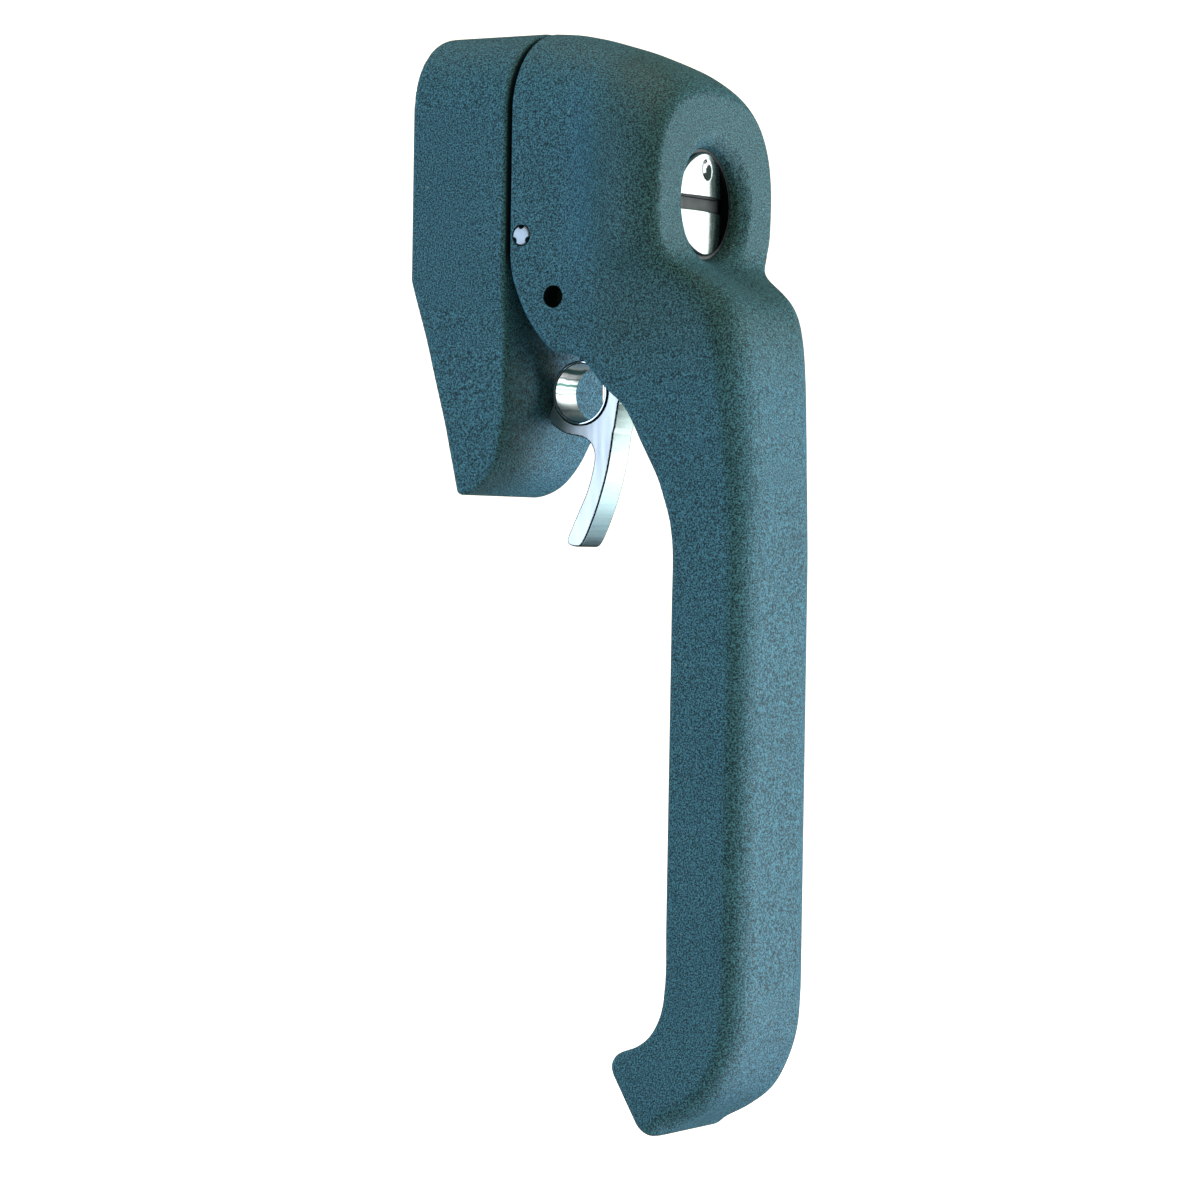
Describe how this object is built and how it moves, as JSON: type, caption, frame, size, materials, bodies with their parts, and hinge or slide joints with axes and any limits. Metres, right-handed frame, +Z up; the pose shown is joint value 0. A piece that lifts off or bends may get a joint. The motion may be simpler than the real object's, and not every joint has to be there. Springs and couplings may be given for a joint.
{
  "type": "lockable turning lever handle",
  "caption": "Die-cast turning lever handle on an arched base housing, with a slotted lock in its boss and a bushed hook with a finger trigger under the neck.",
  "frame": {"origin": "on the handle's turning axis, in the plane of the base's back (mounting) face", "axes": "+Z up along the hanging grip, +Y into the door leaf along the turning axis, -Y towards the user, +X to the user's right"},
  "size_m": [0.045, 0.0684, 0.1966],
  "materials": {
    "slate_coat": "fine-textured slate powder coat on die-cast metal",
    "zinc_steel": "zinc-plated steel",
    "bright_steel": "bright ground steel",
    "black_steel": "blackened steel",
    "polished_chrome": "polished chrome plate",
    "satin_chrome": "satin chrome plate",
    "bronze": "sintered bronze",
    "black_rubber": "matt rubber"
  },
  "bodies": {
    "base": {"base_housing": "slate_coat", "back_plate": "zinc_steel", "back_plate_screws": "zinc_steel", "front_bush": "bronze", "rear_bush": "bronze", "spindle_seal": "black_rubber", "thrust_washer": "bronze", "stop_pins": "zinc_steel"},
    "handle": {"handle_body": "slate_coat", "spindle": "zinc_steel", "handle_cross_pin": "bright_steel", "stop_disc": "zinc_steel", "wave_washer": "zinc_steel", "retaining_ring": "black_steel", "lock_sleeve": "black_steel", "trigger_pivot_pin": "black_steel", "trigger_washers": "bronze"},
    "lock": {"lock_plug": "polished_chrome", "lock_cam": "zinc_steel", "lock_cam_screw": "zinc_steel"},
    "bolt": {"lock_bolt": "bright_steel"},
    "trigger": {"trigger_hook": "satin_chrome", "eye_bush": "polished_chrome", "trigger_spring": "zinc_steel"}
  },
  "joints": [
    {"name": "handle_turn", "type": "hinge", "parent": "base", "child": "handle", "pos_m": [0, 0, 0], "axis": [0, -1, 0], "range_deg": [0, 90]},
    {"name": "lock_turn", "type": "hinge", "parent": "handle", "child": "lock", "pos_m": [0, -0.04, 0], "axis": [0, -1, 0], "range_deg": [-90, 0]},
    {"name": "bolt_slide", "type": "slide", "parent": "handle", "child": "bolt", "axis": [0, 1, 0], "range_m": [0, 0.0036]},
    {"name": "trigger_pull", "type": "hinge", "parent": "handle", "child": "trigger", "pos_m": [0, -0.03, -0.0169], "axis": [-1, 0, 0], "range_deg": [0, 12], "stiffness_Nm_per_rad": 0.3, "springref_deg": -11.46}
  ],
  "couplings": [
    {"joint": "bolt_slide", "follows": "lock_turn", "m_per_rad": -0.00229}
  ]
}
